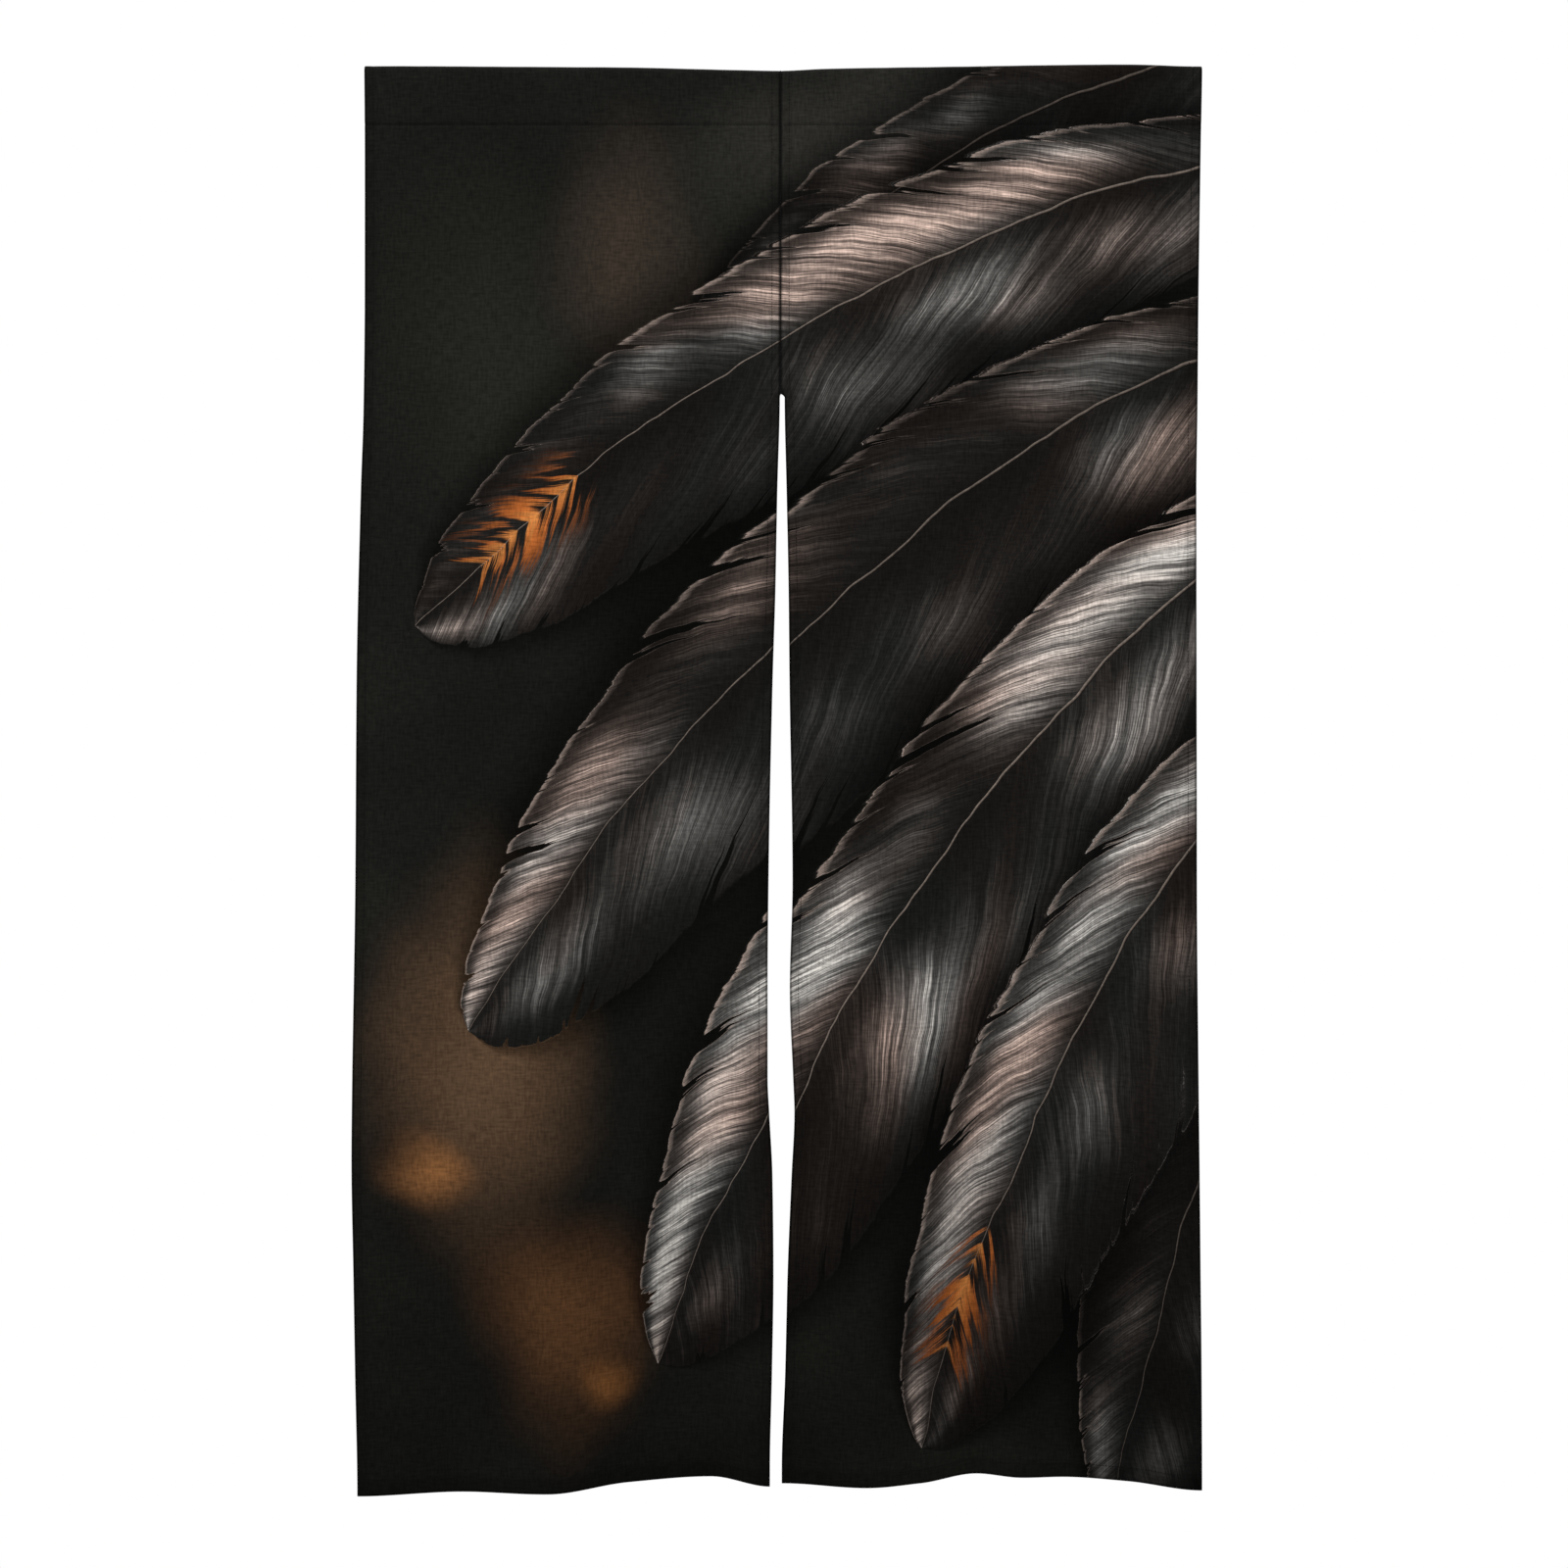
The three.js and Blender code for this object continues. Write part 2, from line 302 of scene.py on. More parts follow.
def pocketPoint(side, across, share):
    # share runs from 0 at the stitches in front, over the round top, to 1 at the turned edge
    x = acrossX(side, across / flatWidth, 0)
    radius = topRadius(x) - cloth["thickness"] / 2
    centreZ = topHeight(x) - topRadius(x)
    walls = []
    for halfGap, footZ in (
        (cloth["pocketMiddle"], hang["stitchLine"]),
        (cloth["pocketBack"] - cloth["pocketMiddle"], hang["stitchLine"] - hang["turnedEdge"]),
    ):
        drop = centreZ - footZ
        reach = math.hypot(halfGap, drop)
        angle = math.acos(radius / reach) - math.pi / 2 + math.atan2(halfGap, drop)
        walls.append((halfGap, footZ, angle, math.sqrt(reach ** 2 - radius ** 2)))
    (frontGap, frontFoot, frontAngle, frontRun), (backGap, backFoot, backAngle, backRun) = walls
    sweep = math.pi - frontAngle - backAngle
    place = share * (frontRun + radius * sweep + backRun)
    if place < frontRun:
        t = place / frontRun
        y = mixed(-frontGap, -radius * math.cos(frontAngle), t)
        z = mixed(frontFoot, centreZ + radius * math.sin(frontAngle), t)
    elif place < frontRun + radius * sweep:
        angle = math.pi - frontAngle - (place - frontRun) / radius
        y = radius * math.cos(angle)
        z = centreZ + radius * math.sin(angle)
    else:
        t = (place - frontRun - radius * sweep) / backRun
        y = mixed(radius * math.cos(backAngle), backGap, t)
        z = mixed(centreZ + radius * math.sin(backAngle), backFoot, t)
    return Vector((acrossX(side, across / flatWidth, z), cloth["pocketMiddle"] + y, z))


def clothPoint(side, across, up):
    # up is the distance along the flat cloth from the bottom hem
    if up <= panelLength:
        return panelPoint(side, across, up)
    return pocketPoint(side, across, (up - panelLength) / cloth["pocketLoop"])


def spacedPlaces(length, spacing, closer):
    # Even places from 0 to length, which give way to the closer ones
    places = sorted(set(closer) | {0, length})
    for i in range(1, int(length / spacing)):
        place = length * i / int(length / spacing)
        if min(abs(place - other) for other in closer) > spacing * cloth["closest"]:
            places.append(place)
    return sorted(places)


def placesNear(*rows):
    # Places for closer rows or columns, given as lines and the steps to take from each
    return [line + step for line, steps in rows for step in steps]


def columnPlaces():
    near = placesNear(
        (0, (0, 0.3, 0.8, 1.5, 2.3, 4, 6.3)),
        (cloth["sideStitch"], (-0.9, 0, 0.9)),
        (cloth["sideHem"], (0, 0.8, 3, 6.5)),
    )
    far = [flatWidth - place for place in near]
    return spacedPlaces(flatWidth, cloth["columnSpacing"], near + far)


def rowPlaces():
    near = placesNear(
        (0, (0, 0.3, 0.9, 2, 5, 9)),
        (cloth["bottomStitch"], (-0.9, 0, 0.9)),
        (cloth["bottomHem"], (0, 0.8, 3.5)),
        (slitHeadUp, (2, 0.4, -0.03, -0.2, -0.5, -0.9, -1.4, -2, -2.6, -3, -4.5)),
        (panelLength, (-9, -6, -3.8, -2, -0.9, 0, 0.9, 2.2, 4)),
        (clothLength - cloth["pocketHem"], (-2.5, -0.8, 0, 3)),
        (rearStitch, (-0.9, 0, 0.7)),
        (clothLength, (-0.3,)),
    )
    last = cloth["topRows"] - 1
    near += [panelLength + mixed(*cloth["roundTop"], i / last) for i in range(last + 1)]
    return spacedPlaces(clothLength, cloth["rowSpacing"], near)


def isHem(across, up):
    edge = min(across, flatWidth - across)
    atPocket = up >= clothLength - cloth["pocketHem"]
    return edge <= cloth["sideHem"] or up <= cloth["bottomHem"] or atPocket


def edgeRound(distance):
    t = 1 - clamped(distance / cloth["edgeRounding"])
    return max(cloth["leastRounding"], math.sqrt(1 - t * t))


def outwardGrid(grid):
    # The printed side's normal at each point, from the neighbours on both sides
    lastRow, lastColumn = len(grid) - 1, len(grid[0]) - 1
    normals = []
    for i in range(lastRow + 1):
        above, below = grid[min(i + 1, lastRow)], grid[max(i - 1, 0)]
        row = grid[i]
        normals.append([
            (row[min(j + 1, lastColumn)] - row[max(j - 1, 0)]).cross(above[j] - below[j]).normalized()
            for j in range(lastColumn + 1)
        ])
    return normals


def seatRearLayer(columns, rows, face, reverse):
    # The pocket's rear layer lies on the back of the front one where they are sewn together
    topStart, topEnd = (panelLength + place for place in cloth["roundTop"])
    front = [i for i, up in enumerate(rows) if panelLength - cloth["layerReach"] < up < topStart]
    rear = [i for i, up in enumerate(rows) if up > topEnd]
    for j in range(len(columns)):
        behind = smoothCurve([(reverse[i][j].z, reverse[i][j].y) for i in front])
        needs = [
            (rows[i], behind(reverse[i][j].z) + cloth["layerGap"] - reverse[i][j].y) for i in rear
        ]
        for i in rear:
            push = max(need - cloth["layerSlope"] * abs(rows[i] - up) for up, need in needs)
            face[i][j].y += max(push, 0)
            reverse[i][j].y += max(push, 0)


def layCloth(side):
    # Both faces of the panel with its pocket, as grids of points in millimetres
    columns, rows = columnPlaces(), rowPlaces()
    middle = [[clothPoint(side, across, up) for across in columns] for up in rows]
    outward = outwardGrid(middle)
    face, reverse = [], []
    for i, up in enumerate(rows):
        faceRow, reverseRow = [], []
        for j, across in enumerate(columns):
            edge = min(across, flatWidth - across, up, clothLength - up)
            rounding = edgeRound(edge)
            half = cloth["thickness"] / 2
            hem = cloth["hemThickness"] if isHem(across, up) else 0
            level = middle[i][j] + outward[i][j] * reliefAt(side, across, up)
            faceRow.append(level + outward[i][j] * half * rounding)
            reverseRow.append(level - outward[i][j] * (half + hem) * rounding)
        face.append(faceRow)
        reverse.append(reverseRow)
    seatRearLayer(columns, rows, face, reverse)
    return {
        "columns": columns, "rows": rows, "outward": outward, "face": face, "reverse": reverse,
    }


def clothMesh(side, laid):
    # Joins the two faces by a rounded rim, and maps the print to them
    columns, rows = laid["columns"], laid["rows"]
    width, height = len(columns), len(rows)
    points = [p for row in laid["face"] for p in row] + [p for row in laid["reverse"] for p in row]
    count = width * height
    places = [(across, up) for up in rows for across in columns] * 2
    quads, plain = [], []
    for i in range(height - 1):
        for j in range(width - 1):
            a, b, c, d = (i * width + j, i * width + j + 1, (i + 1) * width + j + 1, (i + 1) * width + j)
            quads += [(a, b, c, d), (a + count, d + count, c + count, b + count)]
            middleOfHem = isHem((columns[j] + columns[j + 1]) / 2, (rows[i] + rows[i + 1]) / 2)
            plain += [0, 0 if middleOfHem else 1]
    rim = [(0, j) for j in range(width - 1)] + [(i, width - 1) for i in range(height - 1)]
    rim += [(height - 1, j) for j in range(width - 1, 0, -1)] + [(i, 0) for i in range(height - 1, 0, -1)]
    for i, j in rim:
        inward = (clamped(i, 1, height - 2), clamped(j, 1, width - 2))
        centre = (laid["face"][i][j] + laid["reverse"][i][j]) / 2
        away = laid["face"][i][j] - laid["face"][inward[0]][inward[1]]
        away -= laid["outward"][i][j] * away.dot(laid["outward"][i][j])
        points.append(centre + away.normalized() * cloth["rimBulge"])
        places.append((columns[j], rows[i]))
    for k, (i, j) in enumerate(rim):
        after = rim[(k + 1) % len(rim)]
        here, there = i * width + j, after[0] * width + after[1]
        rimHere, rimThere = 2 * count + k, 2 * count + (k + 1) % len(rim)
        quads += [(here, rimHere, rimThere, there), (rimHere, here + count, there + count, rimThere)]
        plain += [0, 0]
    mesh = bpy.data.meshes.new("cloth_" + side)
    mesh.from_pydata([p * mm for p in points], [], quads)
    mesh.polygons.foreach_set("material_index", plain)
    mesh.polygons.foreach_set("use_smooth", [True] * len(quads))
    printMap = mesh.uv_layers.new(name="printMap")
    seamAcross = flatWidth if side == "left" else 0
    topUp = panelLength - hang["stitchLine"]
    for loop in mesh.loops:
        across, up = places[loop.vertex_index]
        printMap.data[loop.index].uv = ((across - seamAcross) * mm, (up - topUp) * mm)
    mesh.update()
    return mesh


def linearColor(code):
    # "#rrggbb" in sRGB, as the linear colour that a socket takes
    parts = [int(code[i:i + 2], 16) / 255 for i in (1, 3, 5)]
    parts = [p / 12.92 if p <= 0.04045 else ((p + 0.055) / 1.055) ** 2.4 for p in parts]
    return (*parts, 1.0)


def span(fromLow, fromHigh, toLow=0.0, toHigh=1.0):
    # The range that a Map Range node reads, and the one that it gives
    return {"From Min": fromLow, "From Max": fromHigh, "To Min": toLow, "To Max": toHigh}


def put(tree, kind, inputs=None, operation=None, **settings):
    # Adds a node with its settings and links. A node given as an input stands for its first output.
    node = tree.nodes.new(kind)
    if operation:
        node.operation = operation
    for name, value in settings.items():
        setattr(node, name, value)
    for socket, value in (inputs or {}).items():
        if isinstance(value, bpy.types.Node):
            value = value.outputs[0]
        if isinstance(value, bpy.types.NodeSocket):
            tree.links.new(value, node.inputs[socket])
        else:
            node.inputs[socket].default_value = value
    return node


def addObject(name, data):
    added = bpy.data.objects.new(name, data)
    bpy.context.scene.collection.objects.link(added)
    return added


def newGroup(name, kind, inputs, outputs):
    tree = bpy.data.node_groups.new(name, kind)
    for way, sockets in (("INPUT", inputs), ("OUTPUT", outputs)):
        for socket, valueKind in sockets.items():
            tree.interface.new_socket(socket, in_out=way, socket_type="NodeSocket" + valueKind)
    return tree


def setRamp(node, stops):
    ramp = node.color_ramp
    while len(ramp.elements) > 1:
        ramp.elements.remove(ramp.elements[-1])
    for i, (place, code) in enumerate(stops):
        element = ramp.elements[0] if i == 0 else ramp.elements.new(place)
        element.position = place
        element.color = linearColor(code)
    return node


def setCurve(node, points):
    node.mapping.extend = "HORIZONTAL"
    curve = node.mapping.curves[0]
    while len(curve.points) > 2:
        curve.points.remove(curve.points[-1])
    curve.points[0].location = points[0]
    curve.points[1].location = points[-1]
    for point in points[1:-1]:
        curve.points.new(*point)
    node.mapping.update()
    return node


# The print: long drooping feathers on a smoky ground. Places are in metres from the top of the
# seam, and each feather lies over those before it.
noBars = -9.0  # far off the feather
feathers = [
    # root x, root y, tip x, tip y, half width, arch, lightness, place of the amber bars
    (0.60, 0.06, -0.10, -0.28, 0.085, 0.28, 0.42, noBars),
    (0.62, -0.06, -0.37, -0.56, 0.120, 0.34, 0.85, 0.87),
    (0.74, -0.52, 0.34, -1.47, 0.125, 0.24, 0.50, noBars),
    (0.64, -0.20, -0.31, -0.97, 0.140, 0.36, 0.72, noBars),
    (0.66, -0.34, -0.12, -1.31, 0.135, 0.33, 0.95, noBars),
    (0.66, -0.52, 0.14, -1.40, 0.118, 0.30, 0.80, 0.86),
]
# Entries that name sockets go straight to their nodes
feather = {
    "waver": {"Scale": 7.0, "Detail": 3.0},
    "waverReach": 0.028,
    "vane": [
        (0, 0.1), (0.15, 0.6), (0.35, 0.92), (0.6, 1), (0.8, 0.86), (0.92, 0.58), (0.975, 0.32), (1, 0),
    ],
    "leastWidth": 0.00001,
    "quillOffset": 0.2,  # the upper vane is the narrower one
    "cover": span(1.01, 0.98),
    "shadow": span(0.8, 1.45, 0.3),
    "barbLean": 1.25,
    "barbCurl": 5.0,
    "notchesPerMetre": 26.0,
    "notchSeed": 13.7,
    "ragged": {"Scale": 1.0, "Detail": 4.0, "Roughness": 0.66},
    "notch": span(0.56, 0.78, 0.0, 0.42),
    "fray": 0.1,
    # Barbs: width and length in metres, the noise's detail, and the part of it that is used
    "hair": (0.0022, 0.038, 3.0, span(0.32, 0.7)),
    "clump": (0.012, 0.11, 1.0, span(0.3, 0.68)),
    "barbRoughness": 0.6,
    "hairGain": (0.95, 0.45),  # gain, and least brightness
    "clumpGain": (0.6, 0.65),
    "sheen": [
        (0, 0.5), (0.05, 0.36), (0.2, 0.98), (0.31, 0.72), (0.385, 0.34), (0.42, 0.2), (0.52, 0.44),
        (0.68, 0.72), (0.82, 0.46), (0.95, 0.2), (1, 0.12),
    ],
    "glossScale": (5.5, 0.6, 3.3),
    "gloss": span(0.38, 0.64, 0.18),
    "colors": [
        (0, "#0e0e0d"), (0.12, "#1a1a19"), (0.3, "#363533"), (0.5, "#5c5a58"), (0.74, "#93908c"),
        (1, "#cac6c0"),
    ],
    "warmTint": "#ffe4da",
    "warmNoise": {"Scale": 5.0, "Detail": 1.0},
    "warmth": span(0.4, 0.6),
    "rim": "#a8968c",
    "rimWidth": span(0.94, 0.99),
    "rimSide": span(-0.5, -0.8, 0.0, 0.8),
    "quillWidth": 0.0024,
    "quillTaper": 0.8,
    "quillCover": span(1.1, 0.8, 0.0, 0.9),
    "quillColors": [(0, "#857a71"), (0.45, "#5d534c"), (0.7, "#1d1917"), (1, "#0d0c0b")],
    "amberColors": [(0.1, "#d08a4a"), (0.5, "#a85c2a"), (0.85, "#6b3b1d"), (1, "#452614")],
    "bars": [
        (0, 0), (0.12, 0), (0.2, 0.8), (0.24, 0.8), (0.32, 0), (0.45, 0), (0.53, 1), (0.63, 1),
        (0.71, 0), (0.8, 0), (0.86, 0.7), (0.89, 0.7), (0.94, 0), (1, 0),
    ],
    "barsLength": 0.13,
    "barsLean": 0.45,
    "barsReach": 0.05,
    "barsFade": span(1.2, 0.7),
    "barsFray": 0.5,
    "barsUneven": 0.5,
    "barsUnevenPerMetre": 38.0,
    "barsNoise": {"Scale": 1.0, "Detail": 1.0},
    "barsByHair": 0.14,
    "barsByClump": 0.1,
}
ground = {
    "colors": [(0.3, "#0e0e0c"), (0.5, "#141412"), (0.72, "#1e1e1a")],
    "clouds": {"Scale": 2.6, "Detail": 3.0},
    "waver": {"Scale": 4.5, "Detail": 2.0},
    "waverReach": 0.16,
    "cover": span(1.3, 1.0),
    "lights": [
        # centre, radii, colour, strength
        ((-0.30, -0.28), (0.16, 0.26), "#1f1f1b", 0.7),
        ((-0.16, -0.17), (0.11, 0.17), "#332b24", 0.8),
        ((0.08, -0.07), (0.24, 0.12), "#282724", 0.8),
        ((-0.30, -1.00), (0.15, 0.28), "#54402f", 0.9),
        ((-0.20, -1.27), (0.15, 0.14), "#5a3d26", 0.9),
        ((-0.35, -1.12), (0.07, 0.06), "#8f6038", 0.7),
        ((-0.25, -0.92), (0.05, 0.05), "#7a5636", 0.6),
        ((-0.15, -1.33), (0.05, 0.04), "#8a5a30", 0.6),
    ],
    "lowerShade": span(-0.85, -1.4, 1.0, 0.5),
}


def alongBarbs(tree, along, bent, length):
    # Metres along the barbs, which lean and curl away from the quill, and metres from the quill
    metresAside = put(tree, "ShaderNodeMath", {0: bent, 1: length}, "MULTIPLY")
    away = put(tree, "ShaderNodeMath", {0: metresAside}, "ABSOLUTE")
    lean = put(tree, "ShaderNodeMath", {
        0: away, 1: feather["barbCurl"], 2: feather["barbLean"],
    }, "MULTIPLY_ADD")
    back = put(tree, "ShaderNodeMath", {0: lean, 1: away}, "MULTIPLY")
    barb = put(tree, "ShaderNodeMath", {0: along, 1: length}, "MULTIPLY")
    return put(tree, "ShaderNodeMath", {0: barb, 1: back}, "SUBTRACT"), metresAside


def notchedEdge(tree, reach, barb, seed):
    # The vane splits along its barbs, so its edge is notched
    spot = put(tree, "ShaderNodeMath", {
        0: barb, 1: feather["notchesPerMetre"], 2: seed * feather["notchSeed"],
    }, "MULTIPLY_ADD")
    ragged = put(tree, "ShaderNodeTexNoise", {"W": spot, **feather["ragged"]}, noise_dimensions="1D")
    notch = put(tree, "ShaderNodeMapRange", {"Value": ragged, **feather["notch"]})
    fray = put(tree, "ShaderNodeMath", {0: ragged, 1: feather["fray"], 2: notch}, "MULTIPLY_ADD")
    return put(tree, "ShaderNodeMath", {0: reach, 1: fray}, "ADD")


def layFeather(tree, place, plan, seed, under):
    # Lays one feather over those under it. It passes on three vectors: place along the vane,
    # across it, and lightness; place along the barbs and from the quill in metres, and seed;
    # shade, nearness to the vane's edge, and amber mark.
    rootX, rootY, tipX, tipY, half, arch, light, amber = plan
    run = Vector((tipX - rootX, tipY - rootY))
    length = run.length
    local = put(tree, "ShaderNodeMapping", {
        "Vector": place, "Location": (rootX, rootY, 0), "Rotation": (0, 0, math.atan2(run.y, run.x)),
        "Scale": (length, length, 1),
    }, vector_type="TEXTURE")
    along, aside = put(tree, "ShaderNodeSeparateXYZ", {0: local}).outputs[:2]
    bow = put(tree, "ShaderNodeMath", {0: along, 1: -1.0}, "ADD")
    bow = put(tree, "ShaderNodeMath", {0: bow, 1: along}, "MULTIPLY")
    bent = put(tree, "ShaderNodeMath", {0: bow, 1: -arch, 2: aside}, "MULTIPLY_ADD")
    vane = setCurve(put(tree, "ShaderNodeFloatCurve", {"Value": along}), feather["vane"])
    vane = put(tree, "ShaderNodeMath", {
        0: vane, 1: half / length, 2: feather["leastWidth"],
    }, "MULTIPLY_ADD")
    across = put(tree, "ShaderNodeMath", {0: bent, 1: vane}, "DIVIDE")
    across = put(tree, "ShaderNodeMath", {0: across, 1: feather["quillOffset"]}, "SUBTRACT")
    reach = put(tree, "ShaderNodeMath", {0: across}, "ABSOLUTE")
    barb, metresAside = alongBarbs(tree, along, bent, length)
    edge = notchedEdge(tree, reach, barb, seed)
    cover, shadow = (
        put(tree, "ShaderNodeMapRange", {
            "Value": value, **feather[name],
        }, interpolation_type="SMOOTHSTEP")
        for value, name in ((edge, "cover"), (reach, "shadow"))
    )
    onVane, inMetres, atEdge = (
        put(tree, "ShaderNodeCombineXYZ", dict(enumerate(row)))
        for row in ((along, across, light), (barb, metresAside, float(seed)), (1.0, edge, amber))
    )
    shading = put(tree, "ShaderNodeCombineXYZ", {0: shadow, 1: 1.0, 2: 1.0})
    shaded = put(tree, "ShaderNodeVectorMath", {0: under[2], 1: shading}, "MULTIPLY")
    pairs = ((under[0], onVane), (under[1], inMetres), (shaded, atEdge))
    return [
        put(tree, "ShaderNodeMix", {0: cover, 4: below, 5: above}, data_type="VECTOR").outputs[1]
        for below, above in pairs
    ]


def barbShade(tree, at, kind):
    # How light the barbs are: fine hairs, or clumps of them
    width, length, detail, used = feather[kind]
    spot = put(tree, "ShaderNodeCombineXYZ", {0: at["barb"], 1: at["away"], 2: at["seed"]})
    scale = (1 / width, 1 / length, 1.0)
    spot = put(tree, "ShaderNodeVectorMath", {0: spot, 1: scale}, "MULTIPLY")
    shade = put(tree, "ShaderNodeTexNoise", {
        "Vector": spot, "Scale": 1.0, "Detail": detail, "Roughness": feather["barbRoughness"],
    })
    shade = put(tree, "ShaderNodeMapRange", {"Value": shade, **used})
    gain, least = feather[kind + "Gain"]
    return shade, put(tree, "ShaderNodeMath", {0: shade, 1: gain, 2: least}, "MULTIPLY_ADD")


def vaneColor(tree, at):
    # Bands down both vanes shine in glossy stretches, and the upper edge has a pale rim
    side = put(tree, "ShaderNodeMath", {0: at["across"], 1: 0.5, 2: 0.5}, "MULTIPLY_ADD")
    band = setCurve(put(tree, "ShaderNodeFloatCurve", {"Value": side}), feather["sheen"])
    spot = put(tree, "ShaderNodeCombineXYZ", {0: at["along"], 1: at["across"], 2: at["seed"]})
    spot = put(tree, "ShaderNodeVectorMath", {0: spot, 1: feather["glossScale"]}, "MULTIPLY")
    gloss = put(tree, "ShaderNodeTexNoise", {"Vector": spot, "Scale": 1.0, "Detail": 1.0})
    gloss = put(tree, "ShaderNodeMapRange", {
        "Value": gloss, **feather["gloss"],
    }, interpolation_type="SMOOTHSTEP")
    glow = at["light"]
    for factor in (band, gloss, at["hairGain"], at["clumpGain"]):
        glow = put(tree, "ShaderNodeMath", {0: glow, 1: factor}, "MULTIPLY")
    vane = setRamp(put(tree, "ShaderNodeValToRGB", {"Fac": glow}), feather["colors"])
    warmth = put(tree, "ShaderNodeTexNoise", {"Vector": at["inMetres"], **feather["warmNoise"]})
    warmth = put(tree, "ShaderNodeMapRange", {"Value": warmth, **feather["warmth"]})
    vane = put(tree, "ShaderNodeMix", {
        0: warmth, 6: vane, 7: linearColor(feather["warmTint"]),
    }, data_type="RGBA", blend_type="MULTIPLY").outputs[2]
    rim = put(tree, "ShaderNodeMapRange", {"Value": at["edge"], **feather["rimWidth"]})
    upper = put(tree, "ShaderNodeMapRange", {"Value": at["across"], **feather["rimSide"]})
    for factor in (upper, at["light"], gloss, at["hairGain"]):
        rim = put(tree, "ShaderNodeMath", {0: rim, 1: factor}, "MULTIPLY", use_clamp=True)
    return put(tree, "ShaderNodeMix", {
        0: rim, 6: vane, 7: linearColor(feather["rim"]),
    }, data_type="RGBA").outputs[2]


def withQuill(tree, at, vane):
    # The quill tapers to the tip, lit from above
    thick = put(tree, "ShaderNodeMath", {
        0: at["along"], 1: -feather["quillTaper"] * feather["quillWidth"], 2: feather["quillWidth"],
    }, "MULTIPLY_ADD")
    turn = put(tree, "ShaderNodeMath", {0: at["metresAside"], 1: thick}, "DIVIDE")
    onQuill = put(tree, "ShaderNodeMath", {0: turn}, "ABSOLUTE")
    onQuill = put(tree, "ShaderNodeMapRange", {"Value": onQuill, **feather["quillCover"]})
    turn = put(tree, "ShaderNodeMath", {0: turn, 1: 0.5, 2: 0.5}, "MULTIPLY_ADD")
    quill = setRamp(put(tree, "ShaderNodeValToRGB", {"Fac": turn}), feather["quillColors"])
    quill = put(tree, "ShaderNodeVectorMath", {0: quill, 3: at["light"]}, "SCALE")
    return put(tree, "ShaderNodeMix", {0: onQuill, 6: vane, 7: quill}, data_type="RGBA").outputs[2]


def withBars(tree, at, vane):
    # Amber bars near the tip, ragged where they end on the barbs
    level = put(tree, "ShaderNodeMath", {0: at["along"], 1: at["amber"]}, "SUBTRACT")
    spot = put(tree, "ShaderNodeMath", {
        0: at["barb"], 1: feather["barsUnevenPerMetre"], 2: at["seed"],
    }, "MULTIPLY_ADD")
    uneven = put(tree, "ShaderNodeTexNoise", {"W": spot, **feather["barsNoise"]}, noise_dimensions="1D")
    level = put(tree, "ShaderNodeMath", {
        0: at["away"], 1: -feather["barsLean"], 2: level,
    }, "MULTIPLY_ADD")
    level = put(tree, "ShaderNodeMath", {
        0: level, 1: 1 / feather["barsLength"], 2: 0.5 - feather["barsUneven"] / 2,
    }, "MULTIPLY_ADD")
    for part, share in ((at["hair"], "barsByHair"), (at["clump"], "barsByClump"), (uneven, "barsUneven")):
        level = put(tree, "ShaderNodeMath", {0: part, 1: feather[share], 2: level}, "MULTIPLY_ADD")
    bars = setCurve(put(tree, "ShaderNodeFloatCurve", {"Value": level}), feather["bars"])
    out = put(tree, "ShaderNodeMath", {0: at["away"], 1: 1 / feather["barsReach"]}, "MULTIPLY")
    out = put(tree, "ShaderNodeMath", {0: at["hair"], 1: feather["barsFray"], 2: out}, "MULTIPLY_ADD")
    fade = put(tree, "ShaderNodeMapRange", {"Value": out, **feather["barsFade"]})
    bars = put(tree, "ShaderNodeMath", {0: bars, 1: fade}, "MULTIPLY", use_clamp=True)
    amber = setRamp(put(tree, "ShaderNodeValToRGB", {"Fac": out}), feather["amberColors"])
    amber = put(tree, "ShaderNodeVectorMath", {0: amber, 3: at["hairGain"]}, "SCALE")
    return put(tree, "ShaderNodeMix", {0: bars, 6: vane, 7: amber}, data_type="RGBA").outputs[2]


def groundColor(tree, entry, place):
    # The smoky ground with its soft lights
    clouds = put(tree, "ShaderNodeTexNoise", {"Vector": entry, **ground["clouds"]})
    behind = setRamp(put(tree, "ShaderNodeValToRGB", {"Fac": clouds}), ground["colors"]).outputs[0]
    for (x, y), radii, code, strength in ground["lights"]:
        local = put(tree, "ShaderNodeMapping", {
            "Vector": place, "Location": (x, y, 0), "Scale": (*radii, 1),
        }, vector_type="TEXTURE")
        far = put(tree, "ShaderNodeVectorMath", {0: local}, "LENGTH").outputs["Value"]
        amount = put(tree, "ShaderNodeMapRange", {
            "Value": far, **span(1.0, 0.0, 0.0, strength),
        }, interpolation_type="SMOOTHSTEP")
        behind = put(tree, "ShaderNodeMix", {
            0: amount, 6: behind, 7: linearColor(code),
        }, data_type="RGBA").outputs[2]
    return behind


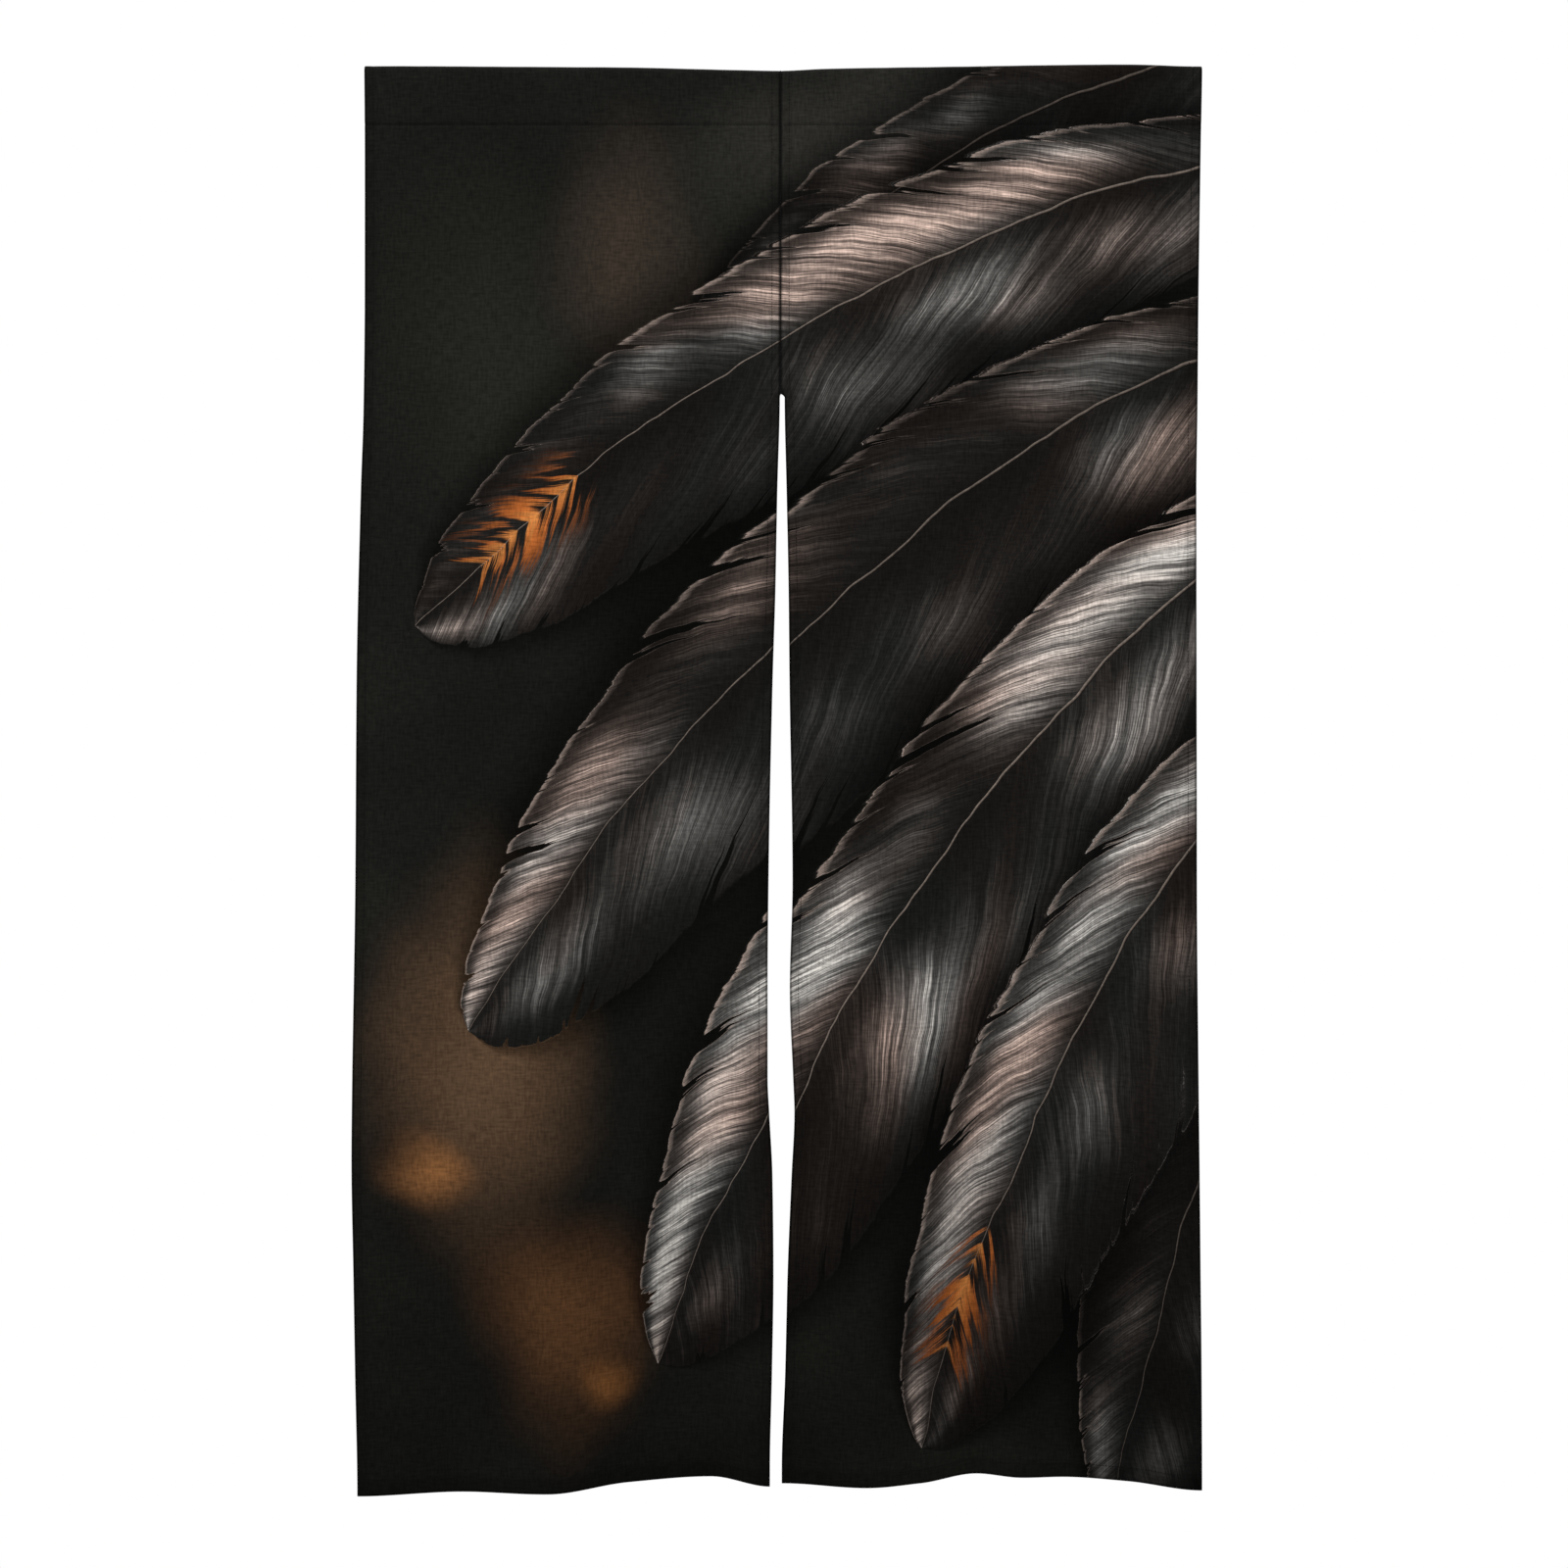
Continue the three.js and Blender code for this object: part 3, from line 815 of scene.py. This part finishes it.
def printGroup():
    # The printed colour at a place on the cloth, given in metres
    tree = newGroup("feather print", "ShaderNodeTree", {"Place": "Vector"}, {"Colour": "Color"})
    entry = put(tree, "NodeGroupInput")
    wavered = []
    for plan in (feather, ground):
        sway = put(tree, "ShaderNodeTexNoise", {"Vector": entry, **plan["waver"]})
        sway = put(tree, "ShaderNodeVectorMath", {
            0: sway.outputs["Color"], 1: (0.5, 0.5, 0.5),
        }, "SUBTRACT")
        wavered.append(put(tree, "ShaderNodeVectorMath", {
            0: sway, 1: (plan["waverReach"], plan["waverReach"], 0.0), 2: entry,
        }, "MULTIPLY_ADD"))

    # Where no feather lies: unshaded, and far past a vane's edge
    top = [
        put(tree, "ShaderNodeCombineXYZ", {0: x, 1: y}).outputs[0]
        for x, y in ((0.0, 0.0), (0.0, 0.0), (1.0, 2.0))
    ]
    for seed, plan in enumerate(feathers, 1):
        top = layFeather(tree, wavered[0], plan, seed, top)
    at = {"inMetres": top[1]}
    for socket, names in zip(top, (
        ("along", "across", "light"), ("barb", "metresAside", "seed"), ("shade", "edge", "amber"),
    )):
        at.update(zip(names, put(tree, "ShaderNodeSeparateXYZ", {0: socket}).outputs))
    at["away"] = put(tree, "ShaderNodeMath", {0: at["metresAside"]}, "ABSOLUTE")
    for kind in ("hair", "clump"):
        at[kind], at[kind + "Gain"] = barbShade(tree, at, kind)
    vane = withBars(tree, at, withQuill(tree, at, vaneColor(tree, at)))

    cover = put(tree, "ShaderNodeMapRange", {
        "Value": at["edge"], **ground["cover"],
    }, interpolation_type="SMOOTHSTEP")
    joined = put(tree, "ShaderNodeMix", {
        0: cover, 6: groundColor(tree, entry, wavered[1]), 7: vane,
    }, data_type="RGBA").outputs[2]
    height = put(tree, "ShaderNodeSeparateXYZ", {0: entry}).outputs["Y"]
    lower = put(tree, "ShaderNodeMapRange", {
        "Value": height, **ground["lowerShade"],
    }, interpolation_type="SMOOTHSTEP")
    shade = put(tree, "ShaderNodeMath", {0: at["shade"], 1: lower}, "MULTIPLY")
    shaded = put(tree, "ShaderNodeVectorMath", {0: joined, 3: shade}, "SCALE")
    put(tree, "NodeGroupOutput", {"Colour": shaded})
    return tree


# Plain-woven polyester with slubs. The real threads are 0.5 mm apart, too fine to show, so
# the slubs are drawn 2.4 mm wide.
weave = {
    "slubWidth": 0.0024,
    "slubLength": 0.012,
    "colorShare": 0.31,
    "threads": (0.7, 1.3),
    "depth": 0.0003,
    "relief": 0.6,
    "roughness": 0.9,
    "specular": 0.02,
    "sheen": 0.24,  # a soft shine at a slant, which shows the folds
    "sheenRoughness": 0.35,
    "strength": 1.15,  # painted light: the colour is raised all over, for a studio a little brighter than its white surroundings
    "yarn": "#5d5a57",
    "bareAtBack": 0.4,  # how much of the unprinted yarn shows there
    # Bands of painted shade: metres from a line where each starts and is full, and its tone
    "sideHem": (-0.004, 0.002, 0.86),  # painted shade over a turned hem, which is two or three layers deep
    "bottomHem": (0.004, -0.004, 0.74),
    "sideEdge": (-0.0025, -0.0014, 0.4),  # the folded edge turns from the light
    "bottomEdge": (0.0025, 0.0014, 0.4),
    # The pocket is painted a little darker above its stitches: painted shade
    "pocket": (-0.001, 0.0, 0.98),
}


def wovenSurface(tree, place, color):
    # Slubbed threads both ways, in the colour and as relief, and bands of painted shade at the hems, the
    # folded edges and the pocket
    slubs = []
    for scale in (
        (1 / weave["slubWidth"], 1 / weave["slubLength"], 1.0),
        (1 / weave["slubLength"], 1 / weave["slubWidth"], 1.0),
    ):
        spot = put(tree, "ShaderNodeVectorMath", {0: place, 1: scale}, "MULTIPLY")
        slubs.append(put(tree, "ShaderNodeTexNoise", {"Vector": spot, "Scale": 1.0, "Detail": 2.0}))
    threads = put(tree, "ShaderNodeMath", {0: slubs[0], 1: slubs[1]}, "ADD")
    # The slubs' gain, raised all over by painted light
    gain = put(tree, "ShaderNodeMapRange", {"Value": threads, **span(
        *weave["threads"],
        weave["strength"] * (1 - weave["colorShare"]),
        weave["strength"] * (1 + weave["colorShare"]),
    )})
    across, up = put(tree, "ShaderNodeSeparateXYZ", {0: place}).outputs[:2]
    side = put(tree, "ShaderNodeMath", {0: across}, "ABSOLUTE")
    halfWidth = flatWidth / 2 * mm
    side = put(tree, "ShaderNodeMath", {0: side, 1: halfWidth}, "SUBTRACT")
    side = put(tree, "ShaderNodeMath", {0: side}, "ABSOLUTE")
    hemEnd = hang["hem"] * mm
    # Each band darkens the colour: painted shade
    for value, line, (start, full, tone) in (
        (side, halfWidth - cloth["sideHem"] * mm, weave["sideHem"]),
        (side, halfWidth, weave["sideEdge"]),
        (up, hemEnd, weave["bottomEdge"]),
        (up, hemEnd + cloth["bottomHem"] * mm, weave["bottomHem"]),
        (up, hang["stitchLine"] * mm, weave["pocket"]),
    ):
        paintedShade = put(tree, "ShaderNodeMapRange", {
            "Value": value, **span(line + start, line + full, 1.0, tone),
        })
        gain = put(tree, "ShaderNodeMath", {0: gain, 1: paintedShade}, "MULTIPLY")
    tinted = put(tree, "ShaderNodeVectorMath", {0: color, 3: gain}, "SCALE")
    raised = put(tree, "ShaderNodeBump", {
        "Height": threads, "Distance": weave["depth"], "Strength": weave["relief"],
    })
    shader = put(tree, "ShaderNodeBsdfPrincipled", {
        "Base Color": tinted, "Normal": raised, "Roughness": weave["roughness"],
        "Specular IOR Level": weave["specular"], "Sheen Weight": weave["sheen"],
        "Sheen Roughness": weave["sheenRoughness"],
    })
    put(tree, "ShaderNodeOutputMaterial", {"Surface": shader})


def newMaterial(name):
    material = bpy.data.materials.new(name)
    material.use_nodes = True
    material.node_tree.nodes.clear()
    return material


def clothMaterial(name, group, bareShare):
    # The print at its place on the cloth. bareShare is how much of the unprinted yarn shows.
    material = newMaterial(name)
    tree = material.node_tree
    place = put(tree, "ShaderNodeUVMap", uv_map="printMap")
    printed = put(tree, "ShaderNodeGroup", node_tree=group)
    tree.links.new(place.outputs[0], printed.inputs["Place"])
    color = put(tree, "ShaderNodeMix", {
        0: bareShare, 6: printed, 7: linearColor(weave["yarn"]),
    }, data_type="RGBA").outputs[2] if bareShare else printed
    wovenSurface(tree, place, color)
    return material


thread = {
    "twistsPerMetre": 2200.0,
    "colors": [(0.3, "#050505"), (0.7, "#121212")],
    "roughness": 0.6,
    "specular": 0.05,
}


def sewingThread():
    # Spun polyester thread: black, with a slight shine from the shader, and lighter spots along its twist
    # painted in its colour as shine
    material = newMaterial("spun polyester thread")
    tree = material.node_tree
    place = put(tree, "ShaderNodeTexCoord").outputs["Object"]
    paintedTwistShine = put(tree, "ShaderNodeTexNoise", {
        "Vector": place, "Scale": thread["twistsPerMetre"], "Detail": 1.0,
    })
    color = setRamp(put(tree, "ShaderNodeValToRGB", {"Fac": paintedTwistShine}), thread["colors"])
    shader = put(tree, "ShaderNodeBsdfPrincipled", {
        "Base Color": color, "Roughness": thread["roughness"], "Specular IOR Level": thread["specular"],
    })
    put(tree, "ShaderNodeOutputMaterial", {"Surface": shader})
    return material


featherPrint = printGroup()
# Printed plain-woven polyester: a matt, slightly slubbed face. On its back the print strikes
# through, paler and greyer.
clothMaterials = [
    clothMaterial("printed plain-woven polyester", featherPrint, 0),
    clothMaterial("reverse of plain-woven polyester", featherPrint, weave["bareAtBack"]),
]
threadMaterial = sewingThread()
print("curtain: materials made")


# Stitches: short thread loops along each sewn line. The seam's lie close together, and are drawn wide and
# high in its groove, so that their black stands in for the groove's shade: thread and painted shade both.
stitch = {
    "hem": {"pitch": 3.3, "length": 2.7, "width": 0.55, "height": 0.4},
    # The seam's stitches are drawn wide and high: a dark line of painted shade in the groove
    "seam": {"pitch": 3.0, "length": 3.3, "width": 1.6, "height": 1.0},
    "bead": {"Segments": 6, "Rings": 4, "Radius": 0.5},
    "uneven": {0: (0.86, 0.9, 0.85), 1: (1.06, 1.1, 1.15)},  # least and most, as shares of a stitch
    "lift": 0.12,
    "fromSide": 0.8,  # where the rows along the hems start
    "fromEnd": 0.9,
    "seed": 11,
}


def stitchTree():
    taken = {"Geometry": "Geometry", **dict.fromkeys(stitch["hem"], "Float"), "seed": "Int"}
    tree = newGroup("stitch row", "GeometryNodeTree", taken, {"Geometry": "Geometry"})
    entry = put(tree, "NodeGroupInput").outputs
    row = put(tree, "GeometryNodeMeshToCurve", {"Mesh": entry["Geometry"]})
    row = put(tree, "GeometryNodeResampleCurve", {"Curve": row, "Length": entry["pitch"]}, mode="LENGTH")
    size = put(tree, "ShaderNodeCombineXYZ", {0: entry["length"], 1: entry["width"], 2: entry["height"]})
    bead = put(tree, "GeometryNodeMeshUVSphere", stitch["bead"])
    bead = put(tree, "GeometryNodeTransform", {"Geometry": bead, "Scale": size})
    outward = put(tree, "GeometryNodeInputNamedAttribute", {"Name": "outward"}, data_type="FLOAT_VECTOR")
    tangent = put(tree, "GeometryNodeInputTangent")
    turn = put(tree, "FunctionNodeAlignRotationToVector", {"Vector": tangent}, axis="X")
    turn = put(tree, "FunctionNodeAlignRotationToVector", {
        "Rotation": turn, "Vector": outward,
    }, axis="Z", pivot_axis="X")
    uneven = put(tree, "FunctionNodeRandomValue", {
        **stitch["uneven"], "Seed": entry["seed"],
    }, data_type="FLOAT_VECTOR")
    laid = put(tree, "GeometryNodeInstanceOnPoints", {
        "Points": row, "Instance": bead, "Rotation": turn, "Scale": uneven,
    })
    solid = put(tree, "GeometryNodeRealizeInstances", {"Geometry": laid})
    solid = put(tree, "GeometryNodeSetShadeSmooth", {"Geometry": solid})
    solid = put(tree, "GeometryNodeSetMaterial", {"Geometry": solid, "Material": threadMaterial})
    put(tree, "NodeGroupOutput", {"Geometry": solid})
    return tree


def nearest(places, place):
    return min(range(len(places)), key=lambda i: abs(places[i] - place))


def hemPaths(laid):
    # Rows of (point, outward) along a panel's hems and the lines of its pocket, on both faces
    columns, rows, outward = laid["columns"], laid["rows"], laid["outward"]
    sideStitch = cloth["sideStitch"]
    sideLines = [nearest(columns, place) for place in (sideStitch, flatWidth - sideStitch)]
    fromSide, fromEnd = stitch["fromSide"], stitch["fromEnd"]
    across = range(nearest(columns, fromSide), nearest(columns, flatWidth - fromSide) + 1)
    up = range(nearest(rows, fromEnd), nearest(rows, clothLength - fromEnd))
    bottomLine, headingLine, rearLine = (
        nearest(rows, place) for place in (cloth["bottomStitch"], panelLength, rearStitch)
    )
    paths = []
    for grid, sign, lines in (
        (laid["face"], 1, (bottomLine, headingLine, rearLine)), (laid["reverse"], -1, (bottomLine,)),
    ):
        for line in sideLines:
            paths.append([(grid[i][line], outward[i][line] * sign) for i in up])
        for line in lines:
            paths.append([(grid[line][j], outward[line][j] * sign) for j in across])
    return paths


def seamPaths(laidPanels):
    # Rows of (point, outward) in the groove between the panels, in front and at the back, where the
    # seam's thread also stands in for the groove's shade
    left, right = laidPanels["left"], laidPanels["right"]
    paths = []
    for layer, sign in (("face", 1), ("reverse", -1)):
        paths.append([
            ((left[layer][i][-2] + right[layer][i][1]) / 2, left["outward"][i][-2] * sign)
            for i in range(nearest(left["rows"], slitHeadUp), len(left["rows"]) - 2)
        ])
    return paths


def sewRows(name, paths, sizes, tree):
    # Lays stitches along paths of (point, outward) in millimetres
    points, edges, normals = [], [], []
    for path in paths:
        start = len(points)
        points += [(point + outward * stitch["lift"]) * mm for point, outward in path]
        normals += [outward for _, outward in path]
        edges += [(i, i + 1) for i in range(start, len(points) - 1)]
    mesh = bpy.data.meshes.new(name + "_paths")
    mesh.from_pydata(points, edges, [])
    outwardOfPoints = mesh.attributes.new("outward", "FLOAT_VECTOR", "POINT")
    outwardOfPoints.data.foreach_set("vector", [part for normal in normals for part in normal])
    guide = addObject(name + "_paths", mesh)
    modifier = guide.modifiers.new("stitches", "NODES")
    modifier.node_group = tree
    values = {size: value * mm for size, value in sizes.items()} | {"seed": stitch["seed"]}
    for item in tree.interface.items_tree:
        if item.in_out == "INPUT" and item.name in values:
            modifier[item.identifier] = values[item.name]
    bpy.context.view_layer.update()
    evaluated = guide.evaluated_get(bpy.context.evaluated_depsgraph_get())
    sewn = addObject(name, bpy.data.meshes.new_from_object(evaluated))
    bpy.data.objects.remove(guide)
    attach(sewn, "root")
    print("curtain:", name, "sewn with", len(sewn.data.polygons), "faces")
    return sewn


def hangPanel(side, laid):
    panel = addObject("door_panel_" + side, clothMesh(side, laid))
    for material in clothMaterials:
        panel.data.materials.append(material)
    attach(panel, "root")
    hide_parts("panel_" + side, "rod_pocket_" + side)
    print("curtain:", panel.name, "hung with", len(panel.data.polygons), "faces")


stitchRow = stitchTree()
laidPanels = {side: layCloth(side) for side in ("left", "right")}
seamThreadAndShade = sewRows("stitches_seam_and_shade", seamPaths(laidPanels), stitch["seam"], stitchRow)
for side, laid in laidPanels.items():
    hemStitches = sewRows("stitches_" + side, hemPaths(laid), stitch["hem"], stitchRow)
    hangPanel(side, laid)


# Studio: white surroundings, soft lights and a pale floor a doorway's height below the top
studio = {
    "key": {"place": (-1.9, -2.3, 1.7), "size": 1.8, "power": 100},
    "fill": {"place": (2.8, -3.0, -0.4), "size": 2.4, "power": 18},
    "back": {"place": (2.4, 2.6, 1.4), "size": 1.8, "power": 60},
    "surroundings": 0.55,  # how strongly the white surroundings light the cloth
    "target": (0, 0, -0.72),
    "floorHeight": -2.03,
    "floorRadius": 2.5,
    "floorSides": 96,
    "white": "#ffffff",
    "floor": "#f1f0ee",
    "floorSurface": {"Roughness": 0.9, "Specular IOR Level": 0.1},
}


def lightStudio():
    # The camera sees full white surroundings, which light the cloth less strongly
    world = bpy.data.worlds.new("white studio")
    world.use_nodes = True
    world.node_tree.nodes.clear()
    tree = world.node_tree
    shown, shining = (
        put(tree, "ShaderNodeBackground", {"Color": linearColor(studio["white"]), "Strength": strength})
        for strength in (1.0, studio["surroundings"])
    )
    seen = put(tree, "ShaderNodeLightPath").outputs["Is Camera Ray"]
    both = put(tree, "ShaderNodeMixShader", {0: seen, 1: shining, 2: shown})
    put(tree, "ShaderNodeOutputWorld", {"Surface": both})
    bpy.context.scene.world = world
    for name in ("key", "fill", "back"):
        plan = studio[name]
        lamp = bpy.data.lights.new(name + " light", "AREA")
        lamp.shape = "DISK"
        lamp.size = plan["size"]
        lamp.energy = plan["power"]
        light = addObject(name + "_light", lamp)
        light.location = plan["place"]
        toward = Vector(studio["target"]) - Vector(plan["place"])
        light.rotation_euler = toward.to_track_quat("-Z", "Y").to_euler()


def layFloor():
    turns = [2 * math.pi * i / studio["floorSides"] for i in range(studio["floorSides"])]
    radius = studio["floorRadius"]
    ring = [(radius * math.cos(turn), radius * math.sin(turn), studio["floorHeight"]) for turn in turns]
    mesh = bpy.data.meshes.new("studio_floor")
    mesh.from_pydata(ring, [], [tuple(range(len(ring)))])
    floor = addObject("studio_floor", mesh)
    material = newMaterial("matt floor paint")
    shader = put(material.node_tree, "ShaderNodeBsdfPrincipled", {
        "Base Color": linearColor(studio["floor"]), **studio["floorSurface"],
    })
    put(material.node_tree, "ShaderNodeOutputMaterial", {"Surface": shader})
    mesh.materials.append(material)


# Camera: straight on, as far back as a long lens stands. The frame is 1600 pixels square, and
# one of them is 0.988 mm at the cloth.
camera = {
    "lens": 100,
    "sensor": 36,
    "pixels": 1600,
    "pixelSize": 0.988,
    "centreX": 3.5,
    "centreZ": -719,
}


def makeCamera():
    lens = bpy.data.cameras.new("camera")
    lens.lens = camera["lens"]
    lens.sensor_width = camera["sensor"]
    viewer = addObject("camera", lens)
    distance = camera["pixels"] * camera["pixelSize"] * camera["lens"] / camera["sensor"]
    viewer.location = Vector((camera["centreX"], -distance, camera["centreZ"])) * mm
    viewer.rotation_euler = (math.pi / 2, 0, 0)
    bpy.context.scene.camera = viewer


lightStudio()
layFloor()
makeCamera()
bpy.context.scene.view_settings.view_transform = "Standard"
print("curtain: studio and camera set")
